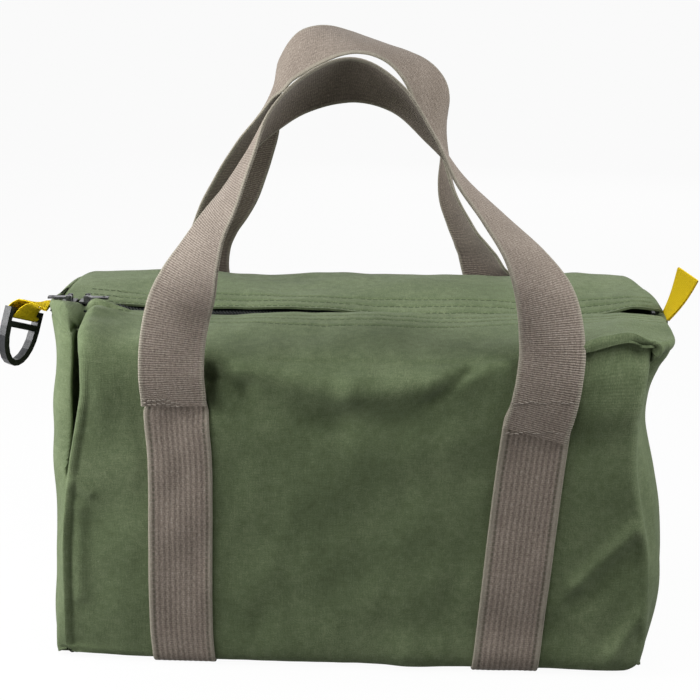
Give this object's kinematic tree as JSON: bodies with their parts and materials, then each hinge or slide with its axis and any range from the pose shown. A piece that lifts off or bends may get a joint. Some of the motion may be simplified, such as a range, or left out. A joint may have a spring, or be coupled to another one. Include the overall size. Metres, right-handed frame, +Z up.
{
  "type": "tool bag",
  "caption": "Zip-top canvas duffel-shaped tool bag with webbing straps, two carrying loops, end tabs and a D-ring.",
  "frame": {"origin": "on the ground, under the middle of the whole bag with its end tabs", "axes": "+X along the bag to the plain tab, -Y to the front panel, +Z up"},
  "size_m": [0.4316, 0.1908, 0.3672],
  "materials": {
    "canvas": "matt olive-green woven cotton canvas",
    "board": "plain",
    "webbing": "ribbed taupe webbing",
    "zip_tape": "woven dark tape",
    "zip_coil": "moulded",
    "black_metal": "black coated",
    "yellow_webbing": "woven yellow tape",
    "black_plastic": "moulded, light gloss"
  },
  "bodies": {
    "bag": {"front_panel": "canvas", "rear_panel": "canvas", "base_panel": "canvas", "base_board": "board", "left_end_panel": "canvas", "right_end_panel": "canvas", "front_top_left": "canvas", "front_top_right": "canvas", "rear_top_left": "canvas", "rear_top_right": "canvas", "left_zip_patch": "canvas", "right_zip_patch": "canvas", "front_tape_left": "zip_tape", "front_tape_right": "zip_tape", "rear_tape_left": "zip_tape", "rear_tape_right": "zip_tape", "front_coil_left": "zip_coil", "front_coil_right": "zip_coil", "rear_coil_left": "zip_coil", "rear_coil_right": "zip_coil", "left_end_stop": "black_metal", "right_end_stop": "black_metal", "left_strap": "webbing", "right_strap": "webbing", "front_left_foot": "webbing", "front_right_foot": "webbing", "rear_left_foot": "webbing", "rear_right_foot": "webbing"},
    "front_flap": {"front_flap": "canvas", "front_tape_middle": "zip_tape", "front_coil_middle": "zip_coil"},
    "rear_flap": {"rear_flap": "canvas", "rear_tape_middle": "zip_tape", "rear_coil_middle": "zip_coil"},
    "front_handle": {"front_handle": "webbing"},
    "rear_handle": {"rear_handle": "webbing"},
    "slider_1": {"slider_1": "black_metal"},
    "slider_2": {"slider_2": "black_metal"},
    "pull_1": {"pull_1": "black_metal"},
    "pull_2": {"pull_2": "black_metal"},
    "left_tab": {"left_tab": "yellow_webbing"},
    "d_ring": {"d_ring": "black_plastic"},
    "right_tab": {"right_tab": "yellow_webbing"}
  },
  "joints": [
    {"name": "front_flap_fold", "type": "hinge", "parent": "bag", "child": "front_flap", "pos_m": [0.00583, -0.08821, 0.1838], "axis": [1, 0, 0], "range_deg": [0, 70]},
    {"name": "rear_flap_fold", "type": "hinge", "parent": "bag", "child": "rear_flap", "pos_m": [0.00583, 0.08379, 0.1988], "axis": [-1, 0, 0], "range_deg": [0, 70]},
    {"name": "front_handle_fold", "type": "hinge", "parent": "bag", "child": "front_handle", "pos_m": [0.00583, -0.09456, 0.1705], "axis": [1, 0, 0], "range_deg": [0, 140]},
    {"name": "rear_handle_fold", "type": "hinge", "parent": "bag", "child": "rear_handle", "pos_m": [0.00583, 0.09087, 0.1705], "axis": [-1, 0, 0], "range_deg": [0, 140]},
    {"name": "slider_1_travel", "type": "slide", "parent": "bag", "child": "slider_1", "axis": [1, 0, 0], "range_m": [0, 0.0017]},
    {"name": "slider_2_travel", "type": "slide", "parent": "bag", "child": "slider_2", "axis": [1, 0, 0], "range_m": [0, 0.3456]},
    {"name": "pull_1_swing", "type": "hinge", "parent": "slider_1", "child": "pull_1", "pos_m": [-0.17256, -0.00221, 0.2048], "axis": [0, 1, 0], "range_deg": [0, 100]},
    {"name": "pull_2_swing", "type": "hinge", "parent": "slider_2", "child": "pull_2", "pos_m": [-0.16156, -0.00221, 0.2048], "axis": [0, -1, 0], "range_deg": [0, 100]},
    {"name": "left_tab_lift", "type": "hinge", "parent": "bag", "child": "left_tab", "pos_m": [-0.18546, -0.00221, 0.20005], "axis": [0, 1, 0], "range_deg": [0, 60]},
    {"name": "d_ring_swing", "type": "hinge", "parent": "left_tab", "child": "d_ring", "pos_m": [-0.20197, -0.00221, 0.1945], "axis": [0.5673, 0.7427, -0.3557], "range_deg": [-45, 45]},
    {"name": "right_tab_fold", "type": "hinge", "parent": "bag", "child": "right_tab", "pos_m": [0.19886, -0.00221, 0.19863], "axis": [0, 1, 0], "range_deg": [0, 75]}
  ]
}
